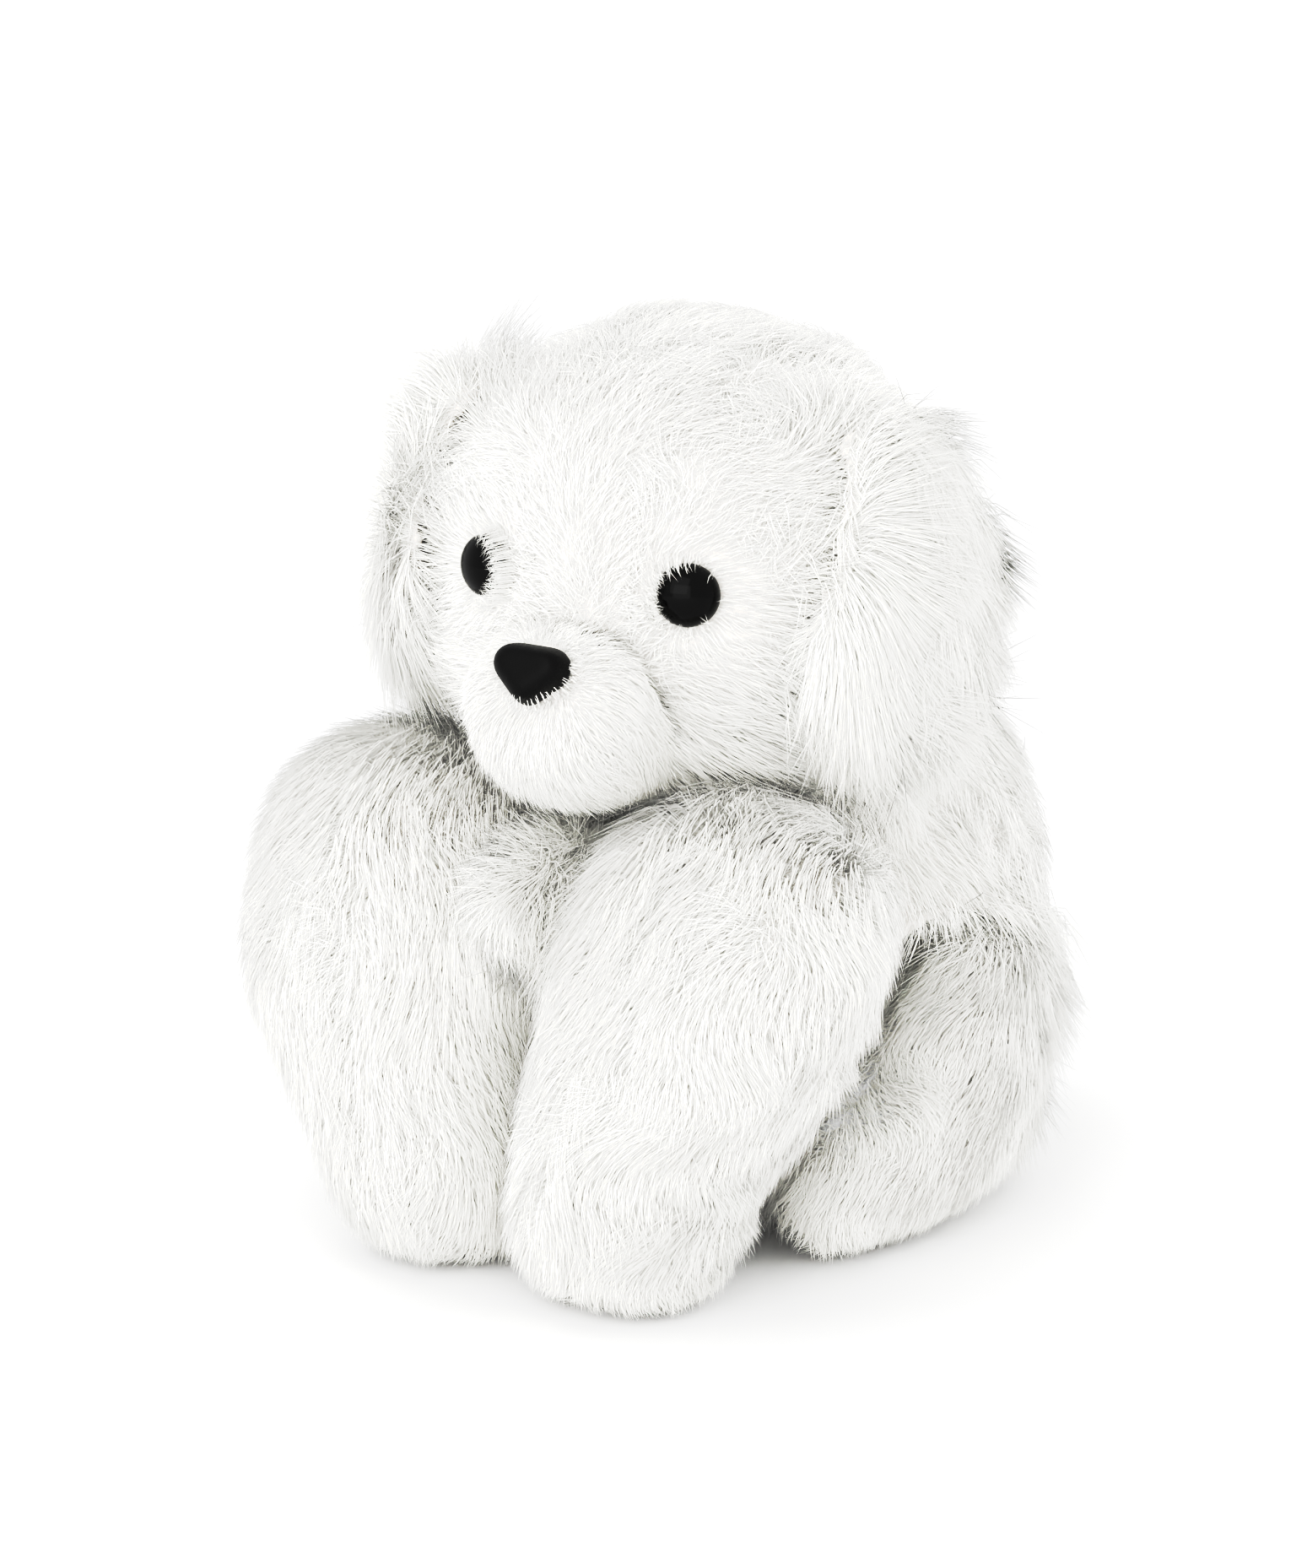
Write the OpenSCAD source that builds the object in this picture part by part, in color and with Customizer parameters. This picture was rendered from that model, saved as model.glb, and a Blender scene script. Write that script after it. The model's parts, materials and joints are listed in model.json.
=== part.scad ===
// Sitting plush dog with a long white pile.
// The dog faces -Y and its left side is +X. The origin is on the floor under the middle of the toy.
// Each cover is drawn as the space that its fabric and its pile fill together, round a stuffing core.

/* [Head] */
// Width of the head across the cheeks
head_w = 120; // [114:1:122]
// Depth of the head without the muzzle
head_d = 114; // [108:1:116]
// Angle that the head looks towards the dog's left
head_turn = 10; // [0:1:16]
// Angle that the head leans towards the dog's left
head_lean = 1.5; // [0:0.5:4]
// Width of the muzzle
muzzle_w = 47; // [42:1:50]
// Height of the muzzle
muzzle_h = 41; // [38:1:44]
// Distance between the middles of the eyes
eye_span = 52; // [46:1:56]
// Diameter of an eye
eye_d = 14; // [12:0.5:15]
// Width of the nose
nose_w = 18; // [15:0.5:20]
// Height of the nose
nose_h = 13.5; // [12:0.5:15]
// Width of an ear, front to back
ear_w = 50; // [40:1:54]
// Length of an ear, top to bottom
ear_l = 67; // [60:1:70]

/* [Body] */
// Width of the body
body_w = 124; // [116:1:126]
// Depth of the body, chest to rump
body_d = 118; // [110:1:120]
// Width of the tail
tail_w = 25; // [20:1:27]

/* [Legs] */
// Width of a front paw
paw_w = 50; // [44:1:50.5]
// Width of a shoulder
shoulder_w = 75; // [68:1:76]
// Width of a hind leg
thigh_w = 40; // [34:1:41]

/* [Pile] */
// Thickness of the body fabric with its pile
body_pile = 8; // [6:0.5:9]
// Thickness of the leg fabric with its pile
leg_pile = 7; // [5:0.5:8]
// Thickness of the head fabric with its pile
head_pile = 6; // [5:0.5:7]
// Thickness of the muzzle fabric with its short pile
muzzle_pile = 4.5; // [3.5:0.5:5.5]
// Thickness of each of the two layers of an ear
ear_pile = 3.4; // [2.8:0.1:4.2]

/* [Fit] */
// Gap between two pieces that are sewn or pressed together
gap = 0.3; // [0.2:0.05:0.4]
// Gap between pieces that move against each other
joint_gap = 0.5; // [0.4:0.1:0.8]

/* [Hidden] */
$fn = 48;

pile_white = [0.95, 0.95, 0.93];
lining_white = [0.93, 0.92, 0.89];
fill_white = [0.85, 0.87, 0.90];
pouch_cream = [0.82, 0.78, 0.68];
pellet_clear = [0.75, 0.78, 0.80];
plastic_black = [0.03, 0.03, 0.03];
washer_white = [0.90, 0.90, 0.90];
thread_white = [0.88, 0.88, 0.85];
big = 600;

// The neck: every surface between head and body lies on a ball round this pivot
neck = [0, -2, 104];
neck_r = 46;
neck_tilt = 21;
neck_rise = 8;

// Each row of keys is one cross-section: its middle x, y, z and its two half sizes.
// Upright forms have level sections. Lying forms have upright sections across the dog.
head_keys = [
    [0, -22, 107, 0.14 * head_w, 0.15 * head_d],
    [0, -23, 111, 0.26 * head_w, 0.27 * head_d],
    [0, -25, 122, 0.40 * head_w, 0.40 * head_d],
    [0, -25, 140, 0.485 * head_w, 0.49 * head_d],
    [0, -24, 158, 0.50 * head_w, 0.50 * head_d],
    [0, -23, 176, 0.475 * head_w, 0.48 * head_d],
    [0, -22, 193, 0.39 * head_w, 0.40 * head_d],
    [0, -21, 205, 0.25 * head_w, 0.27 * head_d],
    [0, -21, 211, 0.09 * head_w, 0.10 * head_d]
];
head_middle_y = -24;
muzzle_z = 135;
muzzle_keys = [
    [0, -98, muzzle_z, 0.20 * muzzle_w, 0.20 * muzzle_h],
    [0, -95, muzzle_z, 0.34 * muzzle_w, 0.34 * muzzle_h],
    [0, -87, muzzle_z, 0.455 * muzzle_w, 0.46 * muzzle_h],
    [0, -77, muzzle_z - 1, 0.50 * muzzle_w, 0.50 * muzzle_h],
    [0, -63, muzzle_z - 2, 0.51 * muzzle_w, 0.51 * muzzle_h]
];
body_keys = [
    [0, 20, 0, 0.29 * body_w, 0.29 * body_d],
    [0, 20, 6, 0.38 * body_w, 0.38 * body_d],
    [0, 21, 25, 0.46 * body_w, 0.46 * body_d],
    [0, 22, 55, 0.50 * body_w, 0.50 * body_d],
    [0, 21, 85, 0.49 * body_w, 0.50 * body_d],
    [0, 17, 107, 0.445 * body_w, 0.46 * body_d],
    [0, 11, 124, 0.36 * body_w, 0.375 * body_d],
    [0, 6, 136, 0.25 * body_w, 0.265 * body_d],
    [0, 3, 143, 0.11 * body_w, 0.12 * body_d]
];
chest_keys = [
    [0, -88, 88, 2.6, 4],
    [0, -85.5, 88, 5.0, 8],
    [0, -76, 88.5, 6.6, 11.5],
    [0, -58, 89, 6.6, 12.5],
    [0, -30, 89, 6.6, 12.5]
];
paw_x = 26.8;
front_leg_keys = [
    [paw_x, -73, 0, 0.36 * paw_w, 16],
    [paw_x, -73, 5, 0.45 * paw_w, 21.5],
    [paw_x, -73.5, 16, 0.50 * paw_w, 25.5],
    [paw_x + 5, -73, 34, 0.59 * paw_w, 28],
    [41, -70, 55, 0.473 * shoulder_w, 32],
    [45, -64, 78, 0.50 * shoulder_w, 34],
    [47, -58, 97, 0.44 * shoulder_w, 29.5],
    [48, -57, 107, 0.32 * shoulder_w, 21],
    [48, -57, 113.5, 0.14 * shoulder_w, 9.5]
];
hind_leg_keys = [
    [46, -36, 12, 0.17 * thigh_w, 8],
    [46, -31, 15, 0.36 * thigh_w, 14.5],
    [47, -17, 19, 0.46 * thigh_w, 19],
    [48.5, 2, 27, 0.50 * thigh_w, 28],
    [48.5, 20, 36.5, 0.50 * thigh_w, 34],
    [46.5, 36, 37, 0.44 * thigh_w, 27],
    [44, 46, 37, 0.20 * thigh_w, 12]
];
tail_keys = [
    [0, 90.5, 18, 0.20 * tail_w, 5],
    [0, 90.5, 22, 0.40 * tail_w, 9.5],
    [0, 90.5, 33, 0.50 * tail_w, 11.5],
    [0, 90.5, 50, 0.48 * tail_w, 11.5],
    [0, 90.5, 64, 0.36 * tail_w, 9],
    [0, 90.5, 72, 0.14 * tail_w, 4]
];

// Pivots of the legs, on the dog's left side
shoulder = [46, -56, 88];
shoulder_r = 39;
shoulder_in = 7;
hip = [48, 14.5, 36];
hip_r = 36.3;
hip_in = 27;
foot_sweep_h = 50;
tail_root = [0, 78, 30];
tail_sweep = 46;

// Eyes, nose and their lock washers
eye_z = 161;
eye_dome = 5.2;
eye_sink = 3.4;
shank_r = 1.7;
shank_l = 11;
washer_r = 7.2;
washer_t = 1.2;
nose_z = 145.5;
nose_y = -97.5;
nose_pitch = 22;
nose_t = 7;
nose_sink = 3.2;

// The sewn opening under the rump, and the pouch of pellets in the seat
stitch_n = 7;
stitch_pitch = 5;
stitch_r = 0.35;
pouch_wall = 1.2;
pouch_keys = [
    [0, 26, 11, 13, 22],
    [0, 26, 14, 16.5, 28],
    [0, 26, 24, 17.5, 31],
    [0, 26, 36, 16, 27],
    [0, 26, 41, 9, 15]
];

// Smooth value between b and c, with the neighbours a and d
function ease(a, b, c, d, t) =
    0.5 * (2 * b + (c - a) * t + (2 * a - 5 * b + 4 * c - d) * t * t + (3 * b - a - 3 * c + d) * t * t * t);

function key_at(keys, i) = keys[max(0, min(len(keys) - 1, i))];

// Cross-section at share s of the way through the keys
function section(keys, s) =
    let (u = s * (len(keys) - 1), i = min(floor(u), len(keys) - 2), t = u - i)
    [for (c = [0:4]) ease(key_at(keys, i - 1)[c], keys[i][c], keys[i + 1][c], key_at(keys, i + 2)[c], t)];

function upright(keys, rings, sides) =
    [for (i = [0:rings - 1]) let (k = section(keys, i / (rings - 1)))
        for (j = [0:sides - 1]) let (a = 360 * j / sides)
            [k[0] + k[3] * cos(a), k[1] + k[4] * sin(a), max(0, k[2])]];

function lying(keys, rings, sides) =
    [for (i = [0:rings - 1]) let (k = section(keys, i / (rings - 1)))
        for (j = [0:sides - 1]) let (a = 360 * j / sides)
            [k[0] + k[3] * cos(a), k[1], max(0, k[2] - k[4] * sin(a))]];

// Points drawn in by t on every side, or let out where t is negative
function drawn_in(points, t) =
    let (
        low = [for (i = [0:2]) min([for (p = points) p[i]])],
        high = [for (i = [0:2]) max([for (p = points) p[i]])],
        middle = (low + high) / 2,
        half = (high - low) / 2
    )
    [for (p = points) [for (i = [0:2]) middle[i] + (p[i] - middle[i]) * (1 - t / half[i])]];

// Closed solid through rings of points
module skin(points, sides) {
    rings = len(points) / sides;
    last = (rings - 1) * sides;
    walls = [for (i = [0:rings - 2]) for (j = [0:sides - 1])
        let (a = i * sides + j, b = i * sides + (j + 1) % sides)
        for (tri = [[a, a + sides, b + sides], [a, b + sides, b]]) tri];
    floor_cap = [for (j = [1:sides - 2]) [0, j, j + 1]];
    top_cap = [for (j = [1:sides - 2]) [last, last + j + 1, last + j]];
    polyhedron(points = points, faces = concat(walls, floor_cap, top_cap), convexity = 6);
}

head_points = upright(head_keys, 17, 28);
muzzle_points = lying(muzzle_keys, 9, 20);
body_points = upright(body_keys, 15, 28);
chest_points = lying(chest_keys, 8, 12);
front_leg_points = upright(front_leg_keys, 15, 20);
hind_leg_points = lying(hind_leg_keys, 12, 20);
tail_points = upright(tail_keys, 9, 14);
pouch_points = upright(pouch_keys, 7, 16);

module on_both_sides() {
    children();
    mirror([1, 0, 0]) children();
}

module on_side(side) {
    mirror([side < 0 ? 1 : 0, 0, 0]) children();
}

// Moves a head piece from facing straight ahead to the way the head is held
module held() {
    translate(neck) rotate([0, 0, head_turn]) rotate([0, head_lean, 0]) translate(-neck) children();
}

// Children that point along the neck's own direction, from the pivot
module along_neck() {
    translate(neck) rotate([neck_tilt, 0, 0]) children();
}

module ball(centre, r) {
    translate(centre) sphere(r = r, $fn = 64);
}

// ---- Body ----

// Space that the head needs to turn and nod over the body
module head_room(t) {
    difference() {
        along_neck() translate([-big / 2, -big / 2, neck_rise - t]) cube([big, big, big]);
        ball(neck, neck_r - t);
    }
}

// Space that both front legs and both hind legs need to swing, beside the body
module leg_room(t) {
    on_both_sides() {
        translate([shoulder_in - t, shoulder[1], shoulder[2]])
            rotate([0, 90, 0]) cylinder(h = 100, r = shoulder_r + t);
        translate([hip_in - t, hip[1], hip[2]])
            rotate([0, 90, 0]) cylinder(h = 100, r = hip_r + t);
        translate([hip_in - t, hip[1] - 100, -big / 2])
            cube([100, 100, big / 2 + foot_sweep_h + t]);
    }
}

neck_plug_r = 15;

module neck_hole(r) {
    along_neck() translate([0, 0, 12]) cylinder(h = 60, r = r);
}

// The tail wags across this flat place on the rump
module tail_room(t) {
    translate([tail_root[0], tail_root[1] - t, tail_root[2]])
        rotate([-90, 0, 0]) cylinder(h = 60, r = tail_sweep + t);
}

module body_form(t) {
    difference() {
        skin(drawn_in(body_points, t), 28);
        head_room(t);
        leg_room(t);
        tail_room(t);
        neck_hole(neck_plug_r + joint_gap);
    }
}

module chest_form(t) {
    difference() {
        skin(drawn_in(chest_points, t), 12);
        skin(drawn_in(body_points, -gap), 28);
    }
}

// The belly panel lies in front of this slanted plane, the back panels behind it
module belly_side(offset) {
    translate([0, -8 + offset, 108]) rotate([-38, 0, 0]) translate([-big / 2, -big, -big / 2])
        cube([big, big, big]);
}

module body_cover() {
    difference() {
        body_form(0);
        body_form(body_pile);
    }
}

module back_panel(side) {
    color(pile_white) intersection() {
        difference() {
            body_cover();
            belly_side(gap / 2);
            closing_slits();
        }
        on_side(side) translate([gap / 2, -big / 2, -big / 2]) cube([big, big, big]);
    }
}

module belly_panel() {
    color(pile_white) intersection() {
        body_cover();
        belly_side(-gap / 2);
    }
}

module chest_gusset() {
    color(pile_white) chest_form(0);
}

module body_stuffing() {
    color(fill_white) difference() {
        body_form(body_pile + gap);
        skin(drawn_in(pouch_points, -gap), 16);
    }
}

module pellet_pouch() {
    color(pouch_cream) difference() {
        skin(pouch_points, 16);
        skin(drawn_in(pouch_points, pouch_wall), 16);
    }
}

module pellet_fill() {
    color(pellet_clear) skin(drawn_in(pouch_points, pouch_wall + gap), 16);
}

// Ladder stitches that close the back seam low on the rump
stitch_y = 78.3;
stitch_z = 74;

module stitch_row(r) {
    for (i = [0:stitch_n - 1])
        translate([0, stitch_y, stitch_z + stitch_pitch * i]) rotate([0, 90, 0])
            cylinder(h = 5, r = r, center = true, $fn = 16);
}

module closing_slits() {
    stitch_row(stitch_r + 0.05);
}

module closing_stitches() {
    color(thread_white) stitch_row(stitch_r);
}

// Column of filling that carries the head
module neck_stuffing() {
    color(fill_white) intersection() {
        neck_hole(neck_plug_r);
        ball(neck, neck_r + 8);
    }
}

// ---- Head ----

module neck_pocket(r) {
    intersection() {
        ball(neck, neck_r + 8 + r);
        along_neck() cylinder(h = 60, r1 = 0, r2 = 40.5);
    }
}

module head_form(t) {
    difference() {
        skin(drawn_in(head_points, t), 28);
        ball(neck, neck_r + joint_gap + t);
    }
}

// Position on the front of the head at height eye_z, and the way the fabric faces there
function eye_out(x) = sqrt(1 - pow(x / (head_w / 2), 2));
eye_x = eye_span / 2;
eye_y = head_middle_y - eye_out(eye_x) * head_d / 2;
eye_yaw = atan2(eye_x / pow(head_w / 2, 2), eye_out(eye_x) / (head_d / 2));

// Local +Z runs out of the head at the eye
module at_eye(side) {
    on_side(side) translate([eye_x, eye_y, eye_z]) rotate([90, 0, eye_yaw]) children();
}

module at_nose() {
    translate([0, nose_y, nose_z]) rotate([90 - nose_pitch, 0, 0]) children();
}

module eye_seats() {
    for (side = [1, -1]) at_eye(side) {
        translate([0, 0, -eye_sink]) cylinder(h = 12, r = eye_d / 2 + gap);
        translate([0, 0, -20]) cylinder(h = 20, r = shank_r + 0.1);
    }
}

module head_cover() {
    difference() {
        head_form(0);
        head_form(head_pile);
        neck_pocket(joint_gap);
        eye_seats();
    }
}

gusset_half = 13;

module head_panel(side) {
    color(pile_white) held() intersection() {
        head_cover();
        on_side(side) translate([gusset_half, -big / 2, -big / 2]) cube([big, big, big]);
    }
}

module forehead_gusset() {
    color(pile_white) held() intersection() {
        head_cover();
        translate([-gusset_half + gap, -big / 2, -big / 2])
            cube([2 * (gusset_half - gap), big, big]);
    }
}

module head_stuffing() {
    color(fill_white) held() difference() {
        head_form(head_pile + gap);
        neck_pocket(joint_gap);
        for (side = [1, -1]) at_eye(side)
            translate([0, 0, -eye_sink - shank_l - 1]) cylinder(h = shank_l + 1, r = washer_r + 0.6);
    }
}

// Nothing of the muzzle reaches behind the head's own surface
module muzzle_form(t) {
    difference() {
        skin(drawn_in(muzzle_points, t), 20);
        skin(drawn_in(head_points, -gap), 28);
    }
}

module nose_seat(clear) {
    at_nose() {
        translate([0, 0, -nose_sink - clear]) linear_extrude(height = 14) nose_outline(clear);
        translate([0, 0, -16]) cylinder(h = 16, r = shank_r + 0.1);
    }
}

module muzzle_cover() {
    color(pile_white) held() difference() {
        muzzle_form(0);
        skin(drawn_in(muzzle_points, muzzle_pile), 20);
        nose_seat(gap);
    }
}

module muzzle_stuffing() {
    color(fill_white) held() difference() {
        muzzle_form(muzzle_pile + gap);
        at_nose() translate([0, 0, -nose_sink - shank_l - 1])
            cylinder(h = shank_l + 1, r = washer_r + 0.6);
    }
}

module nose_outline(grow) {
    offset(r = grow) hull() {
        for (x = [-1, 1]) translate([x * (nose_w / 2 - 4.8), nose_h / 2 - 4.8]) circle(r = 4.8, $fn = 32);
        translate([0, -nose_h / 2 + 4.2]) circle(r = 4.2, $fn = 32);
    }
}

// Rounded triangle of black plastic, flat behind, with a smooth shank
module nose() {
    color(plastic_black) held() at_nose() {
        hull() {
            translate([0, 0, -nose_sink]) linear_extrude(height = 1.6) nose_outline(0);
            translate([0, 0, nose_t - nose_sink - 2.4]) linear_extrude(height = 1) nose_outline(-1);
            translate([0, 0.4, nose_t - nose_sink - 0.8]) linear_extrude(height = 0.8) nose_outline(-2.7);
        }
        translate([0, 0, -nose_sink - shank_l]) cylinder(h = shank_l + 0.5, r = shank_r);
    }
}

module washer() {
    difference() {
        cylinder(h = washer_t, r = washer_r);
        translate([0, 0, -1]) cylinder(h = washer_t + 2, r = shank_r + 0.02);
    }
}

module nose_washer() {
    color(washer_white) held() at_nose() translate([0, 0, -nose_sink - 7.2]) washer();
}

// Round black safety eye: a dome on a flat back, with a shank
module eye(side) {
    sphere_r = (pow(eye_d / 2, 2) + pow(eye_dome - 1, 2)) / (2 * (eye_dome - 1));
    color(plastic_black) held() at_eye(side) translate([0, 0, -eye_sink]) {
        cylinder(h = 1, r = eye_d / 2);
        intersection() {
            translate([0, 0, eye_dome - sphere_r]) sphere(r = sphere_r, $fn = 96);
            translate([0, 0, 1]) cylinder(h = eye_dome, r = eye_d / 2);
        }
        translate([0, 0, -shank_l]) cylinder(h = shank_l + 0.5, r = shank_r);
    }
}

module eye_washer(side) {
    color(washer_white) held() at_eye(side) translate([0, 0, -eye_sink - 6]) washer();
}

// ---- Ears ----

ear_top = 196;
ear_y = -37;

// Side view of an ear, narrow at the top and round at the bottom
module ear_outline(grow) {
    rotate([90, 0, 90]) linear_extrude(height = 120) offset(r = grow) hull() {
        translate([ear_y + 2, ear_top - 15]) circle(r = 15, $fn = 32);
        translate([ear_y, ear_top - ear_l + ear_w / 2]) circle(r = ear_w / 2, $fn = 32);
    }
}

// Layer of an ear between two distances from the head
module ear_layer(side, near, far, grow) {
    held() on_side(side) intersection() {
        difference() {
            skin(drawn_in(head_points, -far), 28);
            skin(drawn_in(head_points, -near), 28);
        }
        translate([10, 0, 0]) ear_outline(grow);
    }
}

module ear_lining(side) {
    color(lining_white) ear_layer(side, joint_gap + 0.2, joint_gap + 0.2 + ear_pile, -1.5);
}

module ear_outer(side) {
    near = joint_gap + 0.2 + ear_pile + gap;
    color(pile_white) ear_layer(side, near, near + ear_pile, 0);
}

// ---- Legs and tail ----

// Each leg cover is two panels that meet in a plane through the middle of the leg
module leg_half(outer, x, lean) {
    move = outer ? gap / 2 : -gap / 2 - big;
    translate([x, 0, 0]) rotate([0, lean, 0]) translate([move, -big / 2, -big / 2])
        cube([big, big, big]);
}

front_seam_x = 24;
front_seam_lean = 13;

module front_leg_panel(side, outer) {
    color(pile_white) on_side(side) intersection() {
        difference() {
            skin(front_leg_points, 20);
            skin(drawn_in(front_leg_points, leg_pile), 20);
        }
        leg_half(outer, front_seam_x, front_seam_lean);
    }
}

module front_leg_stuffing(side) {
    color(fill_white) on_side(side) skin(drawn_in(front_leg_points, leg_pile + gap), 20);
}

hind_seam_x = 47.3;

module hind_leg_panel(side, outer) {
    color(pile_white) on_side(side) intersection() {
        difference() {
            skin(hind_leg_points, 20);
            skin(drawn_in(hind_leg_points, leg_pile), 20);
        }
        leg_half(outer, hind_seam_x, 0);
    }
}

module hind_leg_stuffing(side) {
    color(fill_white) on_side(side) skin(drawn_in(hind_leg_points, leg_pile + gap), 20);
}

tail_pile = 4;

module tail_cover() {
    color(pile_white) difference() {
        skin(tail_points, 14);
        skin(drawn_in(tail_points, tail_pile), 14);
    }
}

module tail_stuffing() {
    color(fill_white) skin(drawn_in(tail_points, tail_pile + gap), 14);
}

back_panel(1);  // back_panel_left
back_panel(-1);  // back_panel_right
belly_panel();
chest_gusset();
body_stuffing();
pellet_pouch();
pellet_fill();
closing_stitches();
neck_stuffing();
head_panel(1);  // head_panel_left
head_panel(-1);  // head_panel_right
forehead_gusset();
head_stuffing();
muzzle_cover();
muzzle_stuffing();
nose();
nose_washer();
eye(1);  // eye_left
eye(-1);  // eye_right
eye_washer(1);  // eye_washer_left
eye_washer(-1);  // eye_washer_right
ear_outer(1);  // ear_left_outer
ear_lining(1);  // ear_left_lining
ear_outer(-1);  // ear_right_outer
ear_lining(-1);  // ear_right_lining
front_leg_panel(1, true);  // front_leg_left_outer
front_leg_panel(1, false);  // front_leg_left_inner
front_leg_stuffing(1);  // front_leg_left_stuffing
front_leg_panel(-1, true);  // front_leg_right_outer
front_leg_panel(-1, false);  // front_leg_right_inner
front_leg_stuffing(-1);  // front_leg_right_stuffing
hind_leg_panel(1, true);  // hind_leg_left_outer
hind_leg_panel(1, false);  // hind_leg_left_inner
hind_leg_stuffing(1);  // hind_leg_left_stuffing
hind_leg_panel(-1, true);  // hind_leg_right_outer
hind_leg_panel(-1, false);  // hind_leg_right_inner
hind_leg_stuffing(-1);  // hind_leg_right_stuffing
tail_cover();
tail_stuffing();
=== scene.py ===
# Visual model of the plush dog: thin sewn skins, separate strands of pile, eyes, nose, floor and light.
import json
import math
import bpy
import numpy as np
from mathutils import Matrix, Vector
from mathutils.bvhtree import BVHTree
from mathutils.kdtree import KDTree

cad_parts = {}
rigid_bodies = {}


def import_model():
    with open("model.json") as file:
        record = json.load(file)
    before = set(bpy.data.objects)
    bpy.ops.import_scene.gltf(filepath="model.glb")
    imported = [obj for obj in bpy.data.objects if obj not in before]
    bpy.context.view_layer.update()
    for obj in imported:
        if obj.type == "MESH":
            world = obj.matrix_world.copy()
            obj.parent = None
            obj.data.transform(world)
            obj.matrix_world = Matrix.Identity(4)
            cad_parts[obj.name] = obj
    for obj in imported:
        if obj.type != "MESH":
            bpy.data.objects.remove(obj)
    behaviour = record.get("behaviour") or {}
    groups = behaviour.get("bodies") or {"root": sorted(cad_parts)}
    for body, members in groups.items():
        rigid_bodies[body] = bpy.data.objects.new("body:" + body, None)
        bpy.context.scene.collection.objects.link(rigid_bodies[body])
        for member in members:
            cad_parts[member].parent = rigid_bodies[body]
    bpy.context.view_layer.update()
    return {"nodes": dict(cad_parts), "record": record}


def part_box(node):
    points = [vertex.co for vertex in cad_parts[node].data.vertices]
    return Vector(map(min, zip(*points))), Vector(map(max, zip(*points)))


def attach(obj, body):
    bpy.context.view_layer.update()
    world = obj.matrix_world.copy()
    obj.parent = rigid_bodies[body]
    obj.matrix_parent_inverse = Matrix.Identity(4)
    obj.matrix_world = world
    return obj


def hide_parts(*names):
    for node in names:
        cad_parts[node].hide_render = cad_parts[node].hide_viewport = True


MM = 0.001
DOWN = np.array([0.0, 0.0, -1.0])
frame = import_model()
nodes = frame["nodes"]
node_body = {n: b for b, members in frame["record"]["behaviour"]["bodies"].items() for n in members}

# Sewn skins: the CAD covers that each one stands for, what fills it, and how deep its pile is in mm.
SKINS = {
    "torso": {
        "covers": ["back_panel_left", "back_panel_right", "belly_panel"],
        "filling": ["body_stuffing"], "voxel": 2.6, "depth": 5.5, "fill": 0.85,
    },
    "chest": {
        "covers": ["chest_gusset"],
        "filling": [], "voxel": 1.6, "depth": 1.8, "fill": 0.6,
    },
    "head": {
        "covers": ["head_panel_left", "head_panel_right", "forehead_gusset"],
        "filling": ["head_stuffing"], "voxel": 2.4, "depth": 3.6, "fill": 0.9,
    },
    "muzzle": {
        "covers": ["muzzle_cover"],
        "filling": ["muzzle_stuffing"], "voxel": 1.6, "depth": 2.4, "fill": 0.9,
    },
    "ear_left": {
        "covers": ["ear_left_outer", "ear_left_lining"],
        "filling": [], "voxel": 1.4, "depth": 1.9, "fill": 0.3,
    },
    "ear_right": {
        "covers": ["ear_right_outer", "ear_right_lining"],
        "filling": [], "voxel": 1.4, "depth": 1.9, "fill": 0.3,
    },
    "tail": {
        "covers": ["tail_cover"],
        "filling": ["tail_stuffing"], "voxel": 1.6, "depth": 2.6, "fill": 0.7,
    },
}
for side in ("left", "right"):
    for leg in ("front_leg", "hind_leg"):
        SKINS[f"{leg}_{side}"] = {
            "covers": [f"{leg}_{side}_outer", f"{leg}_{side}_inner"],
            "filling": [f"{leg}_{side}_stuffing"], "voxel": 2.2, "depth": 4.6, "fill": 0.85,
        }

# Pile on each cover: number of strands, length and width in mm, lift of the root in degrees, way it is
# combed, tousle from 0 to 1, and how far the tips gather into tufts from 0 to 1.
PILE = {
    "back_panel": (18000, 13, 0.28, 48, "down", 0.55, 0.3),
    "belly_panel": (6000, 14, 0.31, 50, "down", 0.5, 0.4),
    "chest_gusset": (8000, 13.5, 0.26, 36, "chest", 0.7, 0.15),
    "head_panel": (18000, 10, 0.25, 38, "face", 0.45, 0.25),
    "forehead_gusset": (13000, 9, 0.24, 36, "face", 0.4, 0.25),
    "muzzle_cover": (15000, 6.5, 0.22, 44, "muzzle", 0.35, 0.25),
    "ear_outer": (17000, 12.5, 0.26, 30, "ear", 0.6, 0.25),
    "ear_lining": (3000, 9, 0.28, 34, "ear", 0.4, 0.4),
    "front_leg_outer": (20000, 12.5, 0.27, 48, "leg", 0.55, 0.3),
    "front_leg_inner": (16000, 13.5, 0.27, 50, "leg", 0.55, 0.3),
    "hind_leg_outer": (16000, 12.5, 0.27, 46, "foot", 0.55, 0.3),
    "hind_leg_inner": (5000, 12, 0.30, 48, "foot", 0.5, 0.4),
    "tail_cover": (7000, 14, 0.30, 50, "tail", 0.5, 0.42),
}


# ---- Meshes ----

def mesh_arrays(obj):
    """Corners as an array in metres, and triangles as index triples."""
    me = obj.data
    co = np.zeros(len(me.vertices) * 3)
    me.vertices.foreach_get("co", co)
    me.calc_loop_triangles()
    tri = np.zeros(len(me.loop_triangles) * 3, np.int32)
    me.loop_triangles.foreach_get("vertices", tri)
    return co.reshape(-1, 3), tri.reshape(-1, 3)


def build_mesh(name, co, faces):
    me = bpy.data.meshes.new(name)
    me.from_pydata([tuple(c) for c in co], [], [tuple(int(i) for i in f) for f in faces])
    me.update()
    obj = bpy.data.objects.new(name, me)
    bpy.context.scene.collection.objects.link(obj)
    return obj


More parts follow.
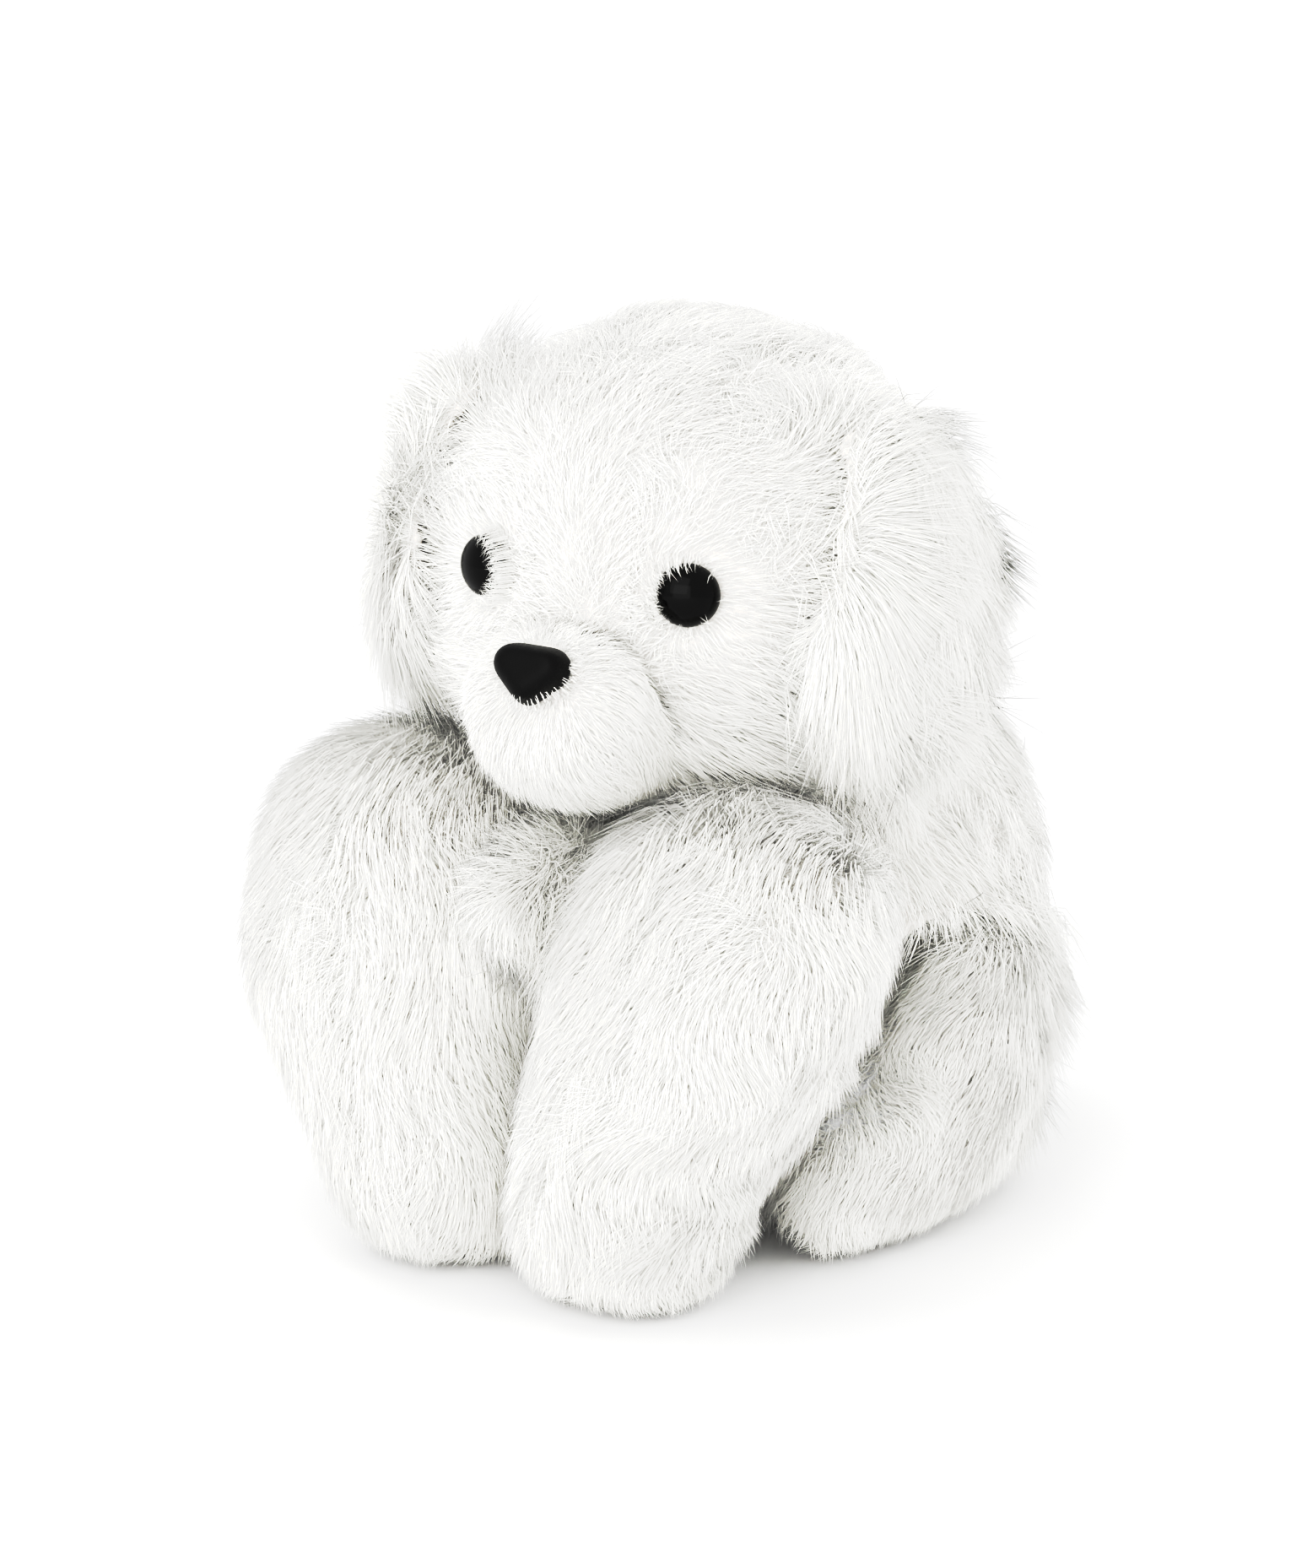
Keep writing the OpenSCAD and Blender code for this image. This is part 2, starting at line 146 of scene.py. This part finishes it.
def mesh_arrays_of(sources):
    """The corners and triangles of several meshes as one."""
    parts, tris, base = [], [], 0
    for s in sources:
        co, tri = mesh_arrays(s)
        parts.append(co)
        tris.append(tri + base)
        base += len(co)
    return np.concatenate(parts), np.concatenate(tris)


def joined(name, sources):
    """One object with copies of several meshes."""
    return build_mesh(name, *mesh_arrays_of(sources))


def remeshed(obj, voxel):
    """The same space as one clean surface of small square faces."""
    mod = obj.modifiers.new("remesh", "REMESH")
    mod.mode = "VOXEL"
    mod.voxel_size = voxel * MM
    mod.adaptivity = 0
    dg = bpy.context.evaluated_depsgraph_get()
    me = bpy.data.meshes.new_from_object(obj.evaluated_get(dg))
    co = np.zeros(len(me.vertices) * 3)
    me.vertices.foreach_get("co", co)
    quads = [tuple(p.vertices) for p in me.polygons]
    bpy.data.objects.remove(obj)
    bpy.data.meshes.remove(me)
    return co.reshape(-1, 3), quads


def outer_shell(co, faces):
    """The connected surface with the largest box, so that closed hollows inside are dropped."""
    parent = list(range(len(co)))

    def root(i):
        while parent[i] != i:
            parent[i] = parent[parent[i]]
            i = parent[i]
        return i

    for f in faces:
        a = root(f[0])
        for i in f[1:]:
            parent[root(i)] = a
    group = np.array([root(i) for i in range(len(co))])
    best = max(set(group), key=lambda g: np.ptp(co[group == g], axis=0).prod())
    keep = np.flatnonzero(group == best)
    new = -np.ones(len(co), int)
    new[keep] = np.arange(len(keep))
    return co[keep], np.array([[new[i] for i in f] for f in faces if group[f[0]] == best])


def corner_normals(co, quads):
    across = np.cross(co[quads[:, 2]] - co[quads[:, 0]], co[quads[:, 3]] - co[quads[:, 1]])
    out = np.zeros_like(co)
    for k in range(4):
        np.add.at(out, quads[:, k], across)
    return out / np.maximum(np.linalg.norm(out, axis=1), 1e-12)[:, None]


def smoothed(co, quads, times):
    edges = np.concatenate([quads[:, [k, (k + 1) % 4]] for k in range(4)])
    count = np.zeros(len(co))
    np.add.at(count, edges[:, 0], 1)
    np.add.at(count, edges[:, 1], 1)
    for _ in range(times):
        total = np.zeros_like(co)
        np.add.at(total, edges[:, 0], co[edges[:, 1]])
        np.add.at(total, edges[:, 1], co[edges[:, 0]])
        co = 0.5 * co + 0.5 * total / count[:, None]
    return co


def unit(v):
    return v / np.maximum(np.linalg.norm(v, axis=-1), 1e-12)[..., None]


def drift(points, wavelength, seed):
    """Smooth random vectors that change over about one wavelength, each number within about -1 to 1."""
    rng = np.random.default_rng(seed)
    out = np.zeros_like(points)
    for _ in range(7):
        wave = rng.normal(size=3)
        wave *= 2 * math.pi / wavelength / np.linalg.norm(wave) * rng.uniform(0.7, 1.4)
        shift = rng.uniform(0, 2 * math.pi, 3)
        out += np.sin(points @ wave[:, None] + shift[None, :]) * rng.normal(size=3)
    return out / 3.2


# ---- Materials ----

def material(name, colour, roughness, **sockets):
    mat = bpy.data.materials.new(name)
    mat.use_nodes = True
    shader = mat.node_tree.nodes["Principled BSDF"]
    shader.inputs["Base Color"].default_value = (*colour, 1)
    shader.inputs["Roughness"].default_value = roughness
    for socket, value in sockets.items():
        shader.inputs[socket.replace("_", " ")].default_value = value
    return mat


def bumped(mat, scale, depth, texture="ShaderNodeTexNoise"):
    """Fine relief in object space."""
    tree = mat.node_tree
    place = tree.nodes.new("ShaderNodeTexCoord")
    relief = tree.nodes.new(texture)
    relief.inputs["Scale"].default_value = scale
    bump = tree.nodes.new("ShaderNodeBump")
    bump.inputs["Distance"].default_value = depth * MM
    tree.links.new(place.outputs["Object"], relief.inputs["Vector"])
    height = relief.outputs["Distance"] if "Distance" in relief.outputs else relief.outputs[0]
    tree.links.new(height, bump.inputs["Height"])
    tree.links.new(bump.outputs["Normal"], tree.nodes["Principled BSDF"].inputs["Normal"])
    return mat


long_pile = material("white_long_pile", (0.975, 0.967, 0.908), 0.7, Sheen_Weight=0.2)
face_pile = material("white_face_pile", (0.975, 0.967, 0.912), 0.7, Sheen_Weight=0.2)
ground = bumped(material("pile_ground", (0.955, 0.915, 0.86), 0.9, Sheen_Weight=0.2), 900, 0.4)
lining = bumped(material("ear_lining_ground", (0.88, 0.84, 0.78), 0.9), 900, 0.3)
fibre = bumped(material("fibre_filling", (0.88, 0.89, 0.91), 0.95), 260, 1.6)
cotton = bumped(material("pouch_cotton", (0.80, 0.76, 0.66), 0.9), 1400, 0.2)
beads = bumped(material("pellet_fill", (0.74, 0.77, 0.80), 0.35), 420, 1.2, "ShaderNodeTexVoronoi")
thread = material("white_thread", (0.90, 0.89, 0.86), 0.7)
washer = material("washer_plastic", (0.82, 0.82, 0.80), 0.45)
eye_black = material("eye_plastic", (0.001, 0.001, 0.001), 0.1, Specular_IOR_Level=0.08)
nose_black = material("nose_plastic", (0.001, 0.001, 0.001), 0.45, Specular_IOR_Level=0.08)
bumped(nose_black, 2600, 0.05)


def paint(obj, mat):
    obj.data.materials.clear()
    obj.data.materials.append(mat)


def smooth_shaded(obj):
    obj.data.shade_smooth()


# ---- Skins ----

def tree_of(co, faces):
    return BVHTree.FromPolygons([tuple(c) for c in co], [tuple(int(i) for i in f) for f in faces])


def node_tree(name):
    return tree_of(*mesh_arrays(nodes[name]))


def neighbours(body):
    """The covers that a body swings against: the legs against the torso, and the torso against all."""
    found = []
    for plan in SKINS.values():
        other = node_body[plan["covers"][0]]
        if other != body and "torso" in (body, other):
            found += [nodes[n] for n in plan["covers"]]
    return found


def make_skin(name, plan):
    """The outer surface of a filled cover, drawn in to the fabric under the pile.
    Beside another body it is drawn in less, so that no open slot shows between the two."""
    sources = [nodes[n] for n in plan["covers"] + plan["filling"]]
    co, quads = outer_shell(*remeshed(joined(name, sources), plan["voxel"]))
    co = smoothed(co, quads, 3)
    depth = np.full(len(co), plan["depth"])
    beside = neighbours(node_body[plan["covers"][0]])
    if beside:
        near = tree_of(*mesh_arrays_of(beside))
        gap = np.array([near.find_nearest(Vector(q))[3] for q in co])
        depth = depth * np.clip((gap - 1.5 * MM) / (9 * MM), 0.12, 1)
    co = co - corner_normals(co, quads) * (depth * MM)[:, None]
    co = smoothed(co, quads, 4)
    co = co + drift(co, 0.03, len(name)) * 0.35 * MM
    co[:, 2] = np.maximum(co[:, 2], 0.6 * MM)
    return co, quads


def panels(co, quads, covers):
    """For each square face, the cover that it lies on."""
    middle = co[quads].mean(axis=1)
    far = []
    for c in covers:
        near = node_tree(c)
        far.append([near.find_nearest(Vector(p))[3] for p in middle])
    return np.argmin(np.array(far), axis=0)


skins = {}
for name, plan in SKINS.items():
    co, quads = make_skin(name, plan)
    skins[name] = {
        "co": co,
        "quads": quads,
        "normals": corner_normals(co, quads),
        "panel": panels(co, quads, plan["covers"]),
        "body": node_body[plan["covers"][0]],
    }
    for k, cover in enumerate(plan["covers"]):
        mine = quads[skins[name]["panel"] == k]
        used, index = np.unique(mine, return_inverse=True)
        piece = build_mesh(f"{cover}_skin", co[used], index.reshape(-1, 4))
        paint(piece, lining if "lining" in cover else ground)
        smooth_shaded(piece)
        wall = piece.modifiers.new("fabric", "SOLIDIFY")
        wall.thickness = 0.9 * MM
        wall.offset = -1
        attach(piece, node_body[cover])
        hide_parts(cover)
        "ear_lining" if "lining" in cover else "long_pile"


# ---- Eyes and nose ----

def spin_axis(co):
    """Middle and axis of a round piece, the axis out of the head."""
    middle = co.mean(axis=0)
    sizes, ways = np.linalg.eigh(np.cov((co - middle).T))
    odd = 0 if sizes[1] - sizes[0] > sizes[2] - sizes[1] else 2
    return middle, ways[:, odd]


head_middle = np.array(sum(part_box("head_stuffing"), Vector()) / 2)
eyes, eye_axes = {}, {}
for side in ("left", "right"):
    co = mesh_arrays(nodes[f"eye_{side}"])[0]
    middle, axis = spin_axis(co)
    axis = axis * np.sign(axis @ (middle - head_middle))
    along = (co - middle) @ axis
    across = np.linalg.norm((co - middle) - along[:, None] * axis, axis=1)
    radius = across.max()
    base = along[across > 0.97 * radius].min()
    top = along.max()
    eyes[side] = middle + axis * (base + top) / 2
    eye_axes[side] = axis
    bpy.ops.mesh.primitive_uv_sphere_add(segments=64, ring_count=40, radius=1)
    dome = bpy.context.object
    dome.name = f"eye_{side}_dome"
    for v in dome.data.vertices:
        height = 0.8 * MM if v.co.z < 0 else top - base - 0.2 * MM
        v.co = Vector((v.co.x * radius, v.co.y * radius, v.co.z * height))
    turn = Vector(axis).to_track_quat("Z", "Y").to_matrix().to_4x4()
    dome.data.transform(turn)
    for v in dome.data.vertices:
        v.co += Vector(middle + axis * (base + 0.2 * MM))
    smooth_shaded(dome)
    paint(dome, eye_black)
    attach(dome, "head")
    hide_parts(f"eye_{side}")

co, quads = remeshed(joined("nose_button", [nodes["nose"]]), 0.45)
quads = np.array(quads)
nose_button = build_mesh("nose_button", smoothed(co, quads, 26), quads)
smooth_shaded(nose_button)
paint(nose_button, nose_black)
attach(nose_button, "head")
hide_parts("nose")
nose_middle = np.array(sum(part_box("nose"), Vector()) / 2)
muzzle_middle = np.array(sum(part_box("muzzle_cover"), Vector()) / 2)

for name, obj in nodes.items():
    if "stuffing" in name:
        paint(obj, fibre)
    elif "washer" in name:
        paint(obj, washer)
paint(nodes["pellet_pouch"], cotton)
paint(nodes["pellet_fill"], beads)
paint(nodes["closing_stitches"], thread)


# ---- Pile ----

STEM_SHARE, TIP_SHARE = 0.45, 0.55  # of a strand's length, below and above its bend
DROOP = 0.18  # how far the upper part of a strand hangs
TUFT_SIZE = 16  # strands that gather into one tuft
SEE_AHEAD = 30 * MM  # how far from a root another body counts
LEAST_ROOM = 3 * MM  # no pile grows where there is less room than this
FULL_ROOM = 11 * MM  # room in which pile stands at full length
OPEN_ROOM = 22 * MM  # room that counts as open, where pile may hang over a slot beside it


def ramp(value, start, span):
    """Rises from 0 at the start value to 1 over the span."""
    return np.clip((value - start) / span, 0, 1)


def comb(way, p, n, side):
    """The way the pile is combed at each point, before it is laid along the surface."""
    down = np.broadcast_to(DOWN, p.shape)
    if way == "face":
        back = unit(p - (muzzle_middle + np.array([0, 0.01, 0])))
        return back + 0.5 * down
    if way == "muzzle":
        return unit(p - nose_middle) + 0.25 * down
    if way == "ear":
        front = np.clip(-n[:, 1:2] * 2 - 0.3, 0, 1)
        top = np.clip(n[:, 2:3] * 2.5, 0, 1)
        hang = down + np.array([0.0, 0.5, 0.0]) + front * np.array([-0.9 * side, -0.2, 0.0])
        return (1 - top) * hang + top * np.array([1.0 * side, 0.45, -0.15])
    if way == "leg":
        top = np.clip(n[:, 2:3] * 2 - 0.8, 0, 1)
        inner = np.clip((p[:, 2:3] - 0.07) / 0.02, 0, 1) * np.clip(1.2 - abs(p[:, :1]) / 0.035, 0, 1)
        flow = down + np.array([-0.1 * side, -0.15, 0.0]) + top * np.array([0.3 * side, -0.9, 0.0])
        return flow + inner * np.array([-0.8 * side, 0.0, 0.0])
    if way == "foot":
        return down * 0.8 + np.array([0.0, -0.75, 0.0])
    if way == "chest":
        top = np.clip(n[:, 2:3] * 2, 0, 1)
        spread = np.clip(p[:, :1] / 0.012, -1, 1)
        hang = down + np.array([0.0, 0.2, 0.0]) + spread * np.array([0.3, 0.0, 0.0])
        return (1 - top) * hang + top * np.array([0.0, -1.0, 0.0])
    if way == "tail":
        return down * 0.3 + np.array([0.0, 0.5, 0.6])
    return down + np.array([0.15 * side, 0.1, 0.0])


def strand_mesh(name, rings, tips, radius, out, mat, body):
    """Closed three-sided tapered strands: one or two rings of three corners each, then a tip.
    They are shaded mostly as the surface that they cover, which is how a dense pile looks."""
    n, levels = rings.shape[:2]
    corners = 3 * levels + 1
    co = np.zeros((n, corners, 3))
    own = np.zeros((n, corners, 3))
    ahead = unit(tips - rings[:, 0])
    level = unit(np.cross(ahead, np.array([0.31, 0.22, 0.92])))
    upper = np.cross(ahead, level)
    for k in range(levels):
        for j in range(3):
            a = 2 * math.pi * j / 3
            own[:, 3 * k + j] = math.cos(a) * level + math.sin(a) * upper
            co[:, 3 * k + j] = rings[:, k] + (radius * (1 - 0.15 * k))[:, None] * own[:, 3 * k + j]
    co[:, -1] = tips
    own[:, -1] = ahead
    co[..., 2] = np.maximum(co[..., 2], 0.15 * MM)
    last = 3 * levels - 3
    faces = [(j, (j + 1) % 3, (j + 1) % 3 + 3, j + 3) for j in range(3) if levels == 2]
    faces += [(last + j, last + (j + 1) % 3, last + 3) for j in range(3)] + [(2, 1, 0)]
    order = np.concatenate([np.array(f) for f in faces])
    loops = (order + np.arange(n)[:, None] * corners).ravel()
    sizes = np.tile(np.array([len(f) for f in faces]), n)
    starts = np.concatenate([[0], np.cumsum(sizes)[:-1]])
    me = bpy.data.meshes.new(name)
    me.vertices.add(n * corners)
    me.vertices.foreach_set("co", co.ravel().astype(np.float32))
    me.loops.add(len(loops))
    me.loops.foreach_set("vertex_index", loops.astype(np.int32))
    me.polygons.add(len(sizes))
    me.polygons.foreach_set("loop_start", starts.astype(np.int32))
    me.update(calc_edges=True)
    me.shade_smooth()
    me.normals_split_custom_set_from_vertices(unit(own * 0.14 + out[:, None]).reshape(-1, 3))
    obj = bpy.data.objects.new(name, me)
    bpy.context.scene.collection.objects.link(obj)
    paint(obj, mat)
    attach(obj, body)
    return obj


def roots_on(skin, k, count, rng):
    """Random points over one cover, with the surface normal at each."""
    quads = skin["quads"][skin["panel"] == k]
    co = skin["co"]
    a, b, c, d = (co[quads[:, i]] for i in range(4))
    size = np.linalg.norm(np.cross(c - a, d - b), axis=1)
    pick = quads[rng.choice(len(quads), count, p=size / size.sum())]
    u, v = rng.random((2, count, 1))
    share = [(1 - u) * (1 - v), u * (1 - v), u * v, (1 - u) * v]
    p = sum(s * co[pick[:, i]] for i, s in enumerate(share))
    n = unit(sum(s * skin["normals"][pick[:, i]] for i, s in enumerate(share)))
    return p, n


def gathered(points, root, amount, rng):
    """Strand points drawn towards those of the tuft that each strand belongs to."""
    heads = rng.choice(len(root), max(1, len(root) // TUFT_SIZE), replace=False)
    tree = KDTree(len(heads))
    for i, h in enumerate(heads):
        tree.insert(root[h], i)
    tree.balance()
    mine = heads[[tree.find(p)[1] for p in root]]
    share = amount * rng.uniform(0.6, 1.2, len(root))
    return [p + (p[mine] - p) * (share * s)[:, None] for p, s in zip(points, (0.2, 0.9))]


walls = {}
for name, skin in skins.items():
    walls.setdefault(skin["body"], []).append((skin["co"], skin["quads"]))


def others_tree(body):
    """Every skin of the other bodies, for pile that would grow into them."""
    co, faces, base = [], [], 0
    for b, parts in walls.items():
        if b != body:
            for c, q in parts:
                co.append(c)
                faces.append(q + base)
                base += len(c)
    return tree_of(np.concatenate(co), np.concatenate(faces))


def room_ahead(tree, p, n, reach):
    """How far each root can see along its normal before it meets another body."""
    out = np.full(len(p), reach)
    for i in range(len(p)):
        hit = tree.ray_cast(Vector(p[i] + n[i] * 0.3 * MM), Vector(n[i]), reach)
        if hit[3] is not None:
            out[i] = hit[3]
    return out


def beside_bodies(body, p, n):
    """Which roots have room to grow, and how long their pile may be. It is short where another body is
    close ahead, and longer at the lip of a slot, where it hangs over it."""
    room = room_ahead(others[body], p, n, SEE_AHEAD)
    keep = room > LEAST_ROOM
    keep &= ~((p[:, 2] < 1.4 * MM) & (n[:, 2] < -0.5))
    lip = np.array([others[body].find_nearest(Vector(q))[3] for q in p])
    over = 0.8 * np.clip(1.6 - lip / FULL_ROOM, 0, 1) * (room > OPEN_ROOM)
    return keep, np.clip(room / FULL_ROOM, 0.45, 1) * (1 + over)


def round_buttons(p):
    """Which roots are clear of the eyes and the nose, and how much shorter pile is beside them."""
    keep, size = np.ones(len(p), bool), np.ones(len(p))
    for eye in eyes.values():
        gap = np.linalg.norm(p - eye, axis=1)
        keep &= gap > 6.2 * MM
        size *= np.clip(0.55 + (gap - 6.2 * MM) / (30 * MM), 0.55, 1)
    gap = np.linalg.norm(p - nose_middle, axis=1)
    keep &= gap > 6 * MM
    size *= np.clip(0.6 + (gap - 6 * MM) / (20 * MM), 0.6, 1)
    return keep, size


def fuller(way, p, n):
    """How much longer pile is at ear hems, shoulders, crown, jaw and chin."""
    z = p[:, 2]
    if way == "ear":
        return 1 + 0.7 * ramp(-z, -150 * MM, 20 * MM)
    if way == "leg":
        return 1 + 0.35 * ramp(z, 85 * MM, 20 * MM)
    if way == "face":
        return (1 + 0.4 * ramp(z, 185 * MM, 20 * MM)) * (1 + 0.9 * ramp(-z, -145 * MM, 20 * MM))
    if way == "muzzle":
        return 1 + 0.5 * np.clip(-n[:, 2] * 1.5, 0, 1)
    return np.ones(len(p))


def away_from_eyes(p):
    """A push of the combing away from each eye, strongest beside it."""
    push = np.zeros_like(p)
    for eye in eyes.values():
        gap = np.linalg.norm(p - eye, axis=1)[:, None]
        push += unit(p - eye) * np.clip(2.2 - gap / (7 * MM), 0, 1.6)
    return push


def near_ears(p):
    """For each ear, how near each root is to it, from 0 to 1."""
    for ear in ("ear_left", "ear_right"):
        gap = np.array([ear_trees[ear].find_nearest(Vector(q))[3] for q in p])
        yield np.clip(1.4 - gap / (10 * MM), 0, 1)


def grow(cover, skin, k, seed, layer):
    """One layer of pile over a cover: the long top coat, or the short loose undercoat below it."""
    kind = cover.replace("_left", "").replace("_right", "")
    count, length, width, lift, way, tousle, tuft = PILE[kind]
    if layer == "undercoat":
        length, lift, tousle, tuft = length * 0.62, lift * 1.25, tousle * 1.6, 0.1
    side = 1 if "left" in cover else -1
    body = skin["body"]
    rng = np.random.default_rng(seed)
    p, n = roots_on(skin, k, count, rng)
    keep, size = beside_bodies(body, p, n)
    if body == "head":
        clear, shorter = round_buttons(p)
        keep &= clear
        size *= shorter
    p, n, size = p[keep], n[keep], size[keep]
    size *= np.clip((p[:, 2] + 8 * MM) / (30 * MM), 0.45, 1) * fuller(way, p, n)
    long = length * MM * size * rng.uniform(0.7, 1.2, len(p))
    flow = comb(way, p, n, side)
    if body == "head":
        flow = flow + away_from_eyes(p)
    flow = flow + drift(p, 0.028, seed + 1) * tousle * 1.1 + rng.normal(size=p.shape) * 0.26 * (0.4 + tousle)
    flow = unit(flow - (flow * n).sum(axis=1)[:, None] * n)
    wave = drift(p, 0.012, seed + 2) * 0.25 * tousle
    low = np.clip((14 * MM - p[:, 2]) / (10 * MM), 0, 1)
    rise_more = 1 + 0.5 * low
    if way == "face":
        for near in near_ears(p):
            long *= 1 + 0.45 * near
            rise_more *= 1 + 0.6 * near
    points, at = [], p.copy()
    for share, rise, droop in ((STEM_SHARE, lift, 0), (TIP_SHARE, lift * 0.3, DROOP)):
        a = np.radians(rise * rise_more * rng.uniform(0.7, 1.3, len(p)))[:, None]
        hang = droop * DOWN * (1 - low[:, None])
        step = np.cos(a) * flow + np.sin(a) * n + wave + hang
        at = at + unit(step) * (long * share)[:, None]
        points.append(at)
    points = gathered(points, p, tuft, rng)
    rings = (p - n * 0.4 * MM)[:, None]
    if layer == "pile":
        rings = np.concatenate([rings, points[0][:, None]], axis=1)
    radius = width / 2 * MM * rng.uniform(0.75, 1.2, len(p))
    coat = face_pile if way in ("face", "muzzle") else long_pile
    obj = strand_mesh(f"{cover}_{layer}", rings, points[1], radius, n, coat, body)
    slots = {"face": "face_pile", "muzzle": "short_pile"}
    slots.get(way, "long_pile")


def grow_rim(name, button, out, toward, width, count, height, seed):
    """Fine fibres that stand round a button and lean over its edge.
    They are thickest towards one side, spread by so many degrees."""
    rng = np.random.default_rng(seed)
    co = mesh_arrays(button)[0]
    middle = co.mean(axis=0)
    toward = unit(toward - (toward @ out) * out)
    across = np.cross(out, toward)
    a = np.radians(rng.normal(0, width, count))[:, None]
    ring = np.cos(a) * toward + np.sin(a) * across
    reach = ((co - middle) @ ring.T).max(axis=0)[:, None]
    top = ((co - middle) @ out).max()
    root = middle + ring * (reach + rng.uniform(0.9, 3.2, (count, 1)) * MM) + out * (top - 5.5 * MM)
    rise = rng.uniform(0.6, 1.0, (count, 1)) * height * MM
    bend = root + out * rise - ring * rng.uniform(0.2, 1.4, (count, 1)) * MM
    lean = unit(-ring + 0.5 * rng.normal(size=(count, 3)) + 0.35 * DOWN)
    tips = bend + lean * rng.uniform(0.2, 0.55, (count, 1)) * height * MM
    radius = rng.uniform(0.05, 0.085, count) * MM
    facing = np.broadcast_to(out, tips.shape)
    rings = np.stack([root, bend], axis=1)
    obj = strand_mesh(f"{name}_rim_pile", rings, tips, radius, facing, face_pile, "head")


others = {b: others_tree(b) for b in walls}
ear_trees = {e: tree_of(skins[e]["co"], skins[e]["quads"]) for e in ("ear_left", "ear_right")}
seed = 100
for name, plan in SKINS.items():
    for k, cover in enumerate(plan["covers"]):
        for layer in ("pile", "undercoat"):
            seed += 10
            grow(cover, skins[name], k, seed, layer)


for side in ("left", "right"):
    seed += 10
    dome = bpy.data.objects[f"eye_{side}_dome"]
    inward = (eyes["left"] - eyes["right"]) * (1 if side == "right" else -1)
    grow_rim(f"eye_{side}", dome, eye_axes[side], inward + 0.01 * DOWN, 60, 420, 4.9, seed)
nose_out = unit(nose_middle - muzzle_middle)
grow_rim("nose", nose_button, nose_out, np.array([0.0, 0.0, 1.0]), 120, 200, 1.4, seed + 10)


# ---- Floor, light and camera ----

bpy.ops.mesh.primitive_plane_add(size=6)
floor = bpy.context.object
floor.name = "floor"
paint(floor, material("pale_floor", (0.97, 0.97, 0.97), 0.8))

bpy.context.scene.view_settings.view_transform = "Standard"
bpy.context.scene.view_settings.use_curve_mapping = True
tone = bpy.context.scene.view_settings.curve_mapping
for dark, bright in ((0.12, 0.12), (0.3, 0.55), (0.5, 0.77), (0.7, 0.875), (0.88, 0.935)):
    tone.curves[3].points.new(dark, bright)
tone.update()
world = bpy.data.worlds.new("studio")
bpy.context.scene.world = world
world.use_nodes = True
world.node_tree.nodes["Background"].inputs["Color"].default_value = (1, 1, 1, 1)
world.node_tree.nodes["Background"].inputs["Strength"].default_value = 1.2


def soft_light(name, place, aim, size, power, colour=(1, 1, 1)):
    data = bpy.data.lights.new(name, "AREA")
    data.size = size
    data.energy = power
    data.color = colour
    lamp = bpy.data.objects.new(name, data)
    bpy.context.scene.collection.objects.link(lamp)
    lamp.location = place
    lamp.rotation_euler = (Vector(aim) - Vector(place)).to_track_quat("-Z", "Y").to_euler()


soft_light("key", (0.2, -1.2, 0.75), (0, 0, 0.1), 1.2, 5.5)
soft_light("fill", (0.4, -1.2, 0.22), (0, 0, 0.1), 1.0, 4)

AZIMUTH, ELEVATION = math.radians(38), math.radians(15)
DISTANCE = 1.2
AIM = Vector((0, -0.030, 0.1045))
VIEW_WIDTH = 0.2955
back = Vector((
    math.sin(AZIMUTH) * math.cos(ELEVATION),
    -math.cos(AZIMUTH) * math.cos(ELEVATION),
    math.sin(ELEVATION),
))
camera_data = bpy.data.cameras.new("camera")
camera_data.sensor_fit = "HORIZONTAL"
camera_data.sensor_width = 36
camera_data.lens = 36 * DISTANCE / VIEW_WIDTH
camera = bpy.data.objects.new("camera", camera_data)
bpy.context.scene.collection.objects.link(camera)
camera.location = AIM + back * DISTANCE
camera.rotation_euler = (-back).to_track_quat("-Z", "Y").to_euler()
bpy.context.scene.camera = camera
